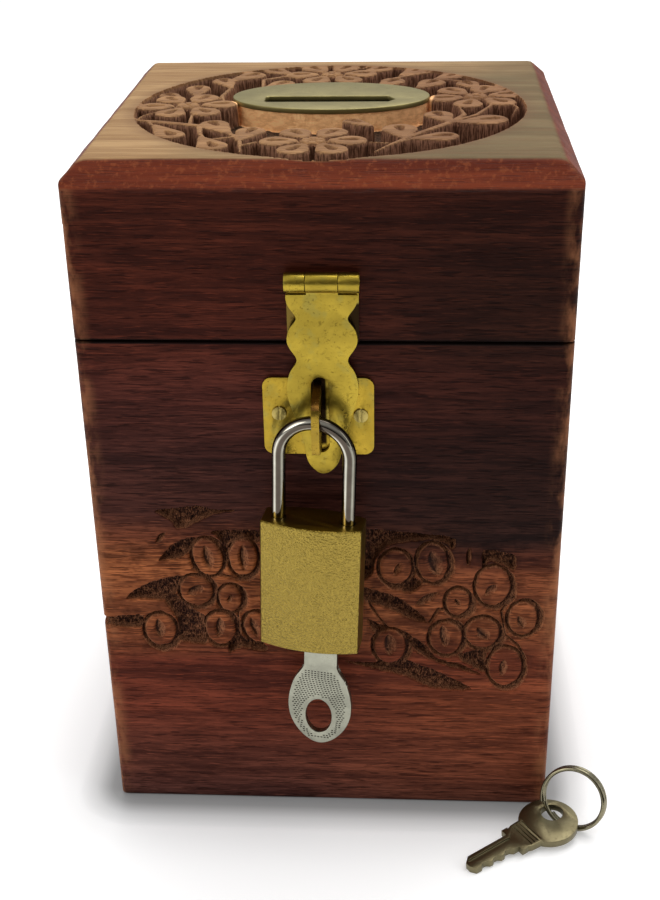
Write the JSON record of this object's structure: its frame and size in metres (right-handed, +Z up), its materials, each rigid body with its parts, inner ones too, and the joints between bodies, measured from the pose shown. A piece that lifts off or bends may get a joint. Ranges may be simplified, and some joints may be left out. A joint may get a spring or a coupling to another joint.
{
  "type": "wooden money box",
  "caption": "Square carved wooden money box with hinged lid, coin slot, brass hasp and staple, small keyed padlock, spare key and split ring.",
  "frame": {"origin": "centre of the box's underside", "axes": "+Z up, front with the hasp towards -Y, +X to the right when looking at the front"},
  "size_m": [0.1148, 0.1285, 0.155],
  "materials": {
    "wood_body": "stained and waxed, horizontal grain",
    "wood_lid": "stained dark and waxed",
    "wood_lid_top": "pale worn wax on top, red-brown chamfer",
    "pale_brass": "dull brushed sheet",
    "brass_sheet": "thin pressed sheet, speckled and scratched",
    "brass_screw": "dull",
    "padlock_brass": "fine orange-peel front, smoother top",
    "padlock_brass_plain": "turned",
    "shackle_steel": "polished plated wire",
    "spring_steel": "drawn wire",
    "key_nickel": "nickel-plated, pressed dot pattern",
    "ring_steel": "nickel-plated wire"
  },
  "bodies": {
    "box": {"body_front_panel": "wood_body", "body_back_panel": "wood_body", "body_left_panel": "wood_body", "body_right_panel": "wood_body", "bottom_panel": "wood_body", "staple_plate": "brass_sheet", "staple": "brass_sheet", "staple_screws": "brass_screw", "hinge_left_body_leaf": "brass_sheet", "hinge_right_body_leaf": "brass_sheet", "hinge_left_pin": "brass_sheet", "hinge_right_pin": "brass_sheet", "hinge_body_screws": "brass_screw"},
    "lid": {"lid_top_panel": "wood_lid_top", "slot_plate": "pale_brass", "lid_front_rail": "wood_lid", "lid_back_rail": "wood_lid", "lid_left_rail": "wood_lid", "lid_right_rail": "wood_lid", "hinge_left_lid_leaf": "brass_sheet", "hinge_right_lid_leaf": "brass_sheet", "hinge_lid_screws": "brass_screw", "hasp_fixed_leaf": "brass_sheet", "hasp_pin": "brass_sheet", "hasp_leaf_screws": "brass_screw"},
    "hasp": {"hasp_plate": "brass_sheet"},
    "shackle": {"shackle": "shackle_steel"},
    "padlock": {"padlock_body": "padlock_brass", "shackle_retaining_pin": "spring_steel", "plug_retaining_pin": "spring_steel", "shackle_spring": "spring_steel", "latch_spring": "spring_steel", "driver_pins": "padlock_brass_plain", "pin_springs": "spring_steel", "pin_chamber_plugs": "padlock_brass_plain"},
    "latch": {"latch_bolt": "padlock_brass_plain"},
    "plug": {"lock_plug": "padlock_brass_plain", "key_pins": "padlock_brass_plain"},
    "key": {"lock_key": "key_nickel"},
    "spare_key": {"spare_key": "key_nickel"},
    "ring": {"key_ring": "ring_steel"}
  },
  "joints": [
    {"name": "lid_hinge", "type": "hinge", "parent": "box", "child": "lid", "pos_m": [0, 0.0524, 0.1185], "axis": [-1, 0, 0], "range_deg": [0, 180]},
    {"name": "hasp_swing", "type": "hinge", "parent": "lid", "child": "hasp", "pos_m": [0.0002, -0.05287, 0.132], "axis": [-1, 0, 0], "range_deg": [0, 179]},
    {"name": "padlock_swing", "type": "hinge", "parent": "box", "child": "shackle", "pos_m": [-0.0013, -0.0584, 0.104], "axis": [-1, 0, 0], "range_deg": [-2, 80]},
    {"name": "shackle_throw", "type": "slide", "parent": "shackle", "child": "padlock", "axis": [-0.0346, 0.0049, -0.9994], "range_m": [0, 0.007]},
    {"name": "key_turn", "type": "hinge", "parent": "padlock", "child": "plug", "pos_m": [-0.00095, -0.05845, 0.05096], "axis": [0.0346, -0.0049, 0.9994], "range_deg": [0, 90]},
    {"name": "latch_slide", "type": "slide", "parent": "padlock", "child": "latch", "axis": [-0.9897, 0.1391, 0.0349], "range_m": [0, 0.0016]},
    {"name": "key_withdraw", "type": "slide", "parent": "plug", "child": "key", "axis": [-0.0346, 0.0049, -0.9994], "range_m": [0, 0.016]},
    {"name": "spare_key_slide", "type": "slide", "parent": "box", "child": "spare_key", "axis": [0.8, -0.6, 0], "range_m": [0, 0.04]},
    {"name": "ring_rock", "type": "hinge", "parent": "spare_key", "child": "ring", "pos_m": [0.05148, -0.05675, 0.00267], "axis": [0.903, -0.4297, 0], "range_deg": [0, 20]}
  ],
  "couplings": [
    {"joint": "key_turn", "follows": "shackle_throw", "rad_per_m": 224.4},
    {"joint": "latch_slide", "follows": "shackle_throw", "ratio": 0.22857}
  ]
}
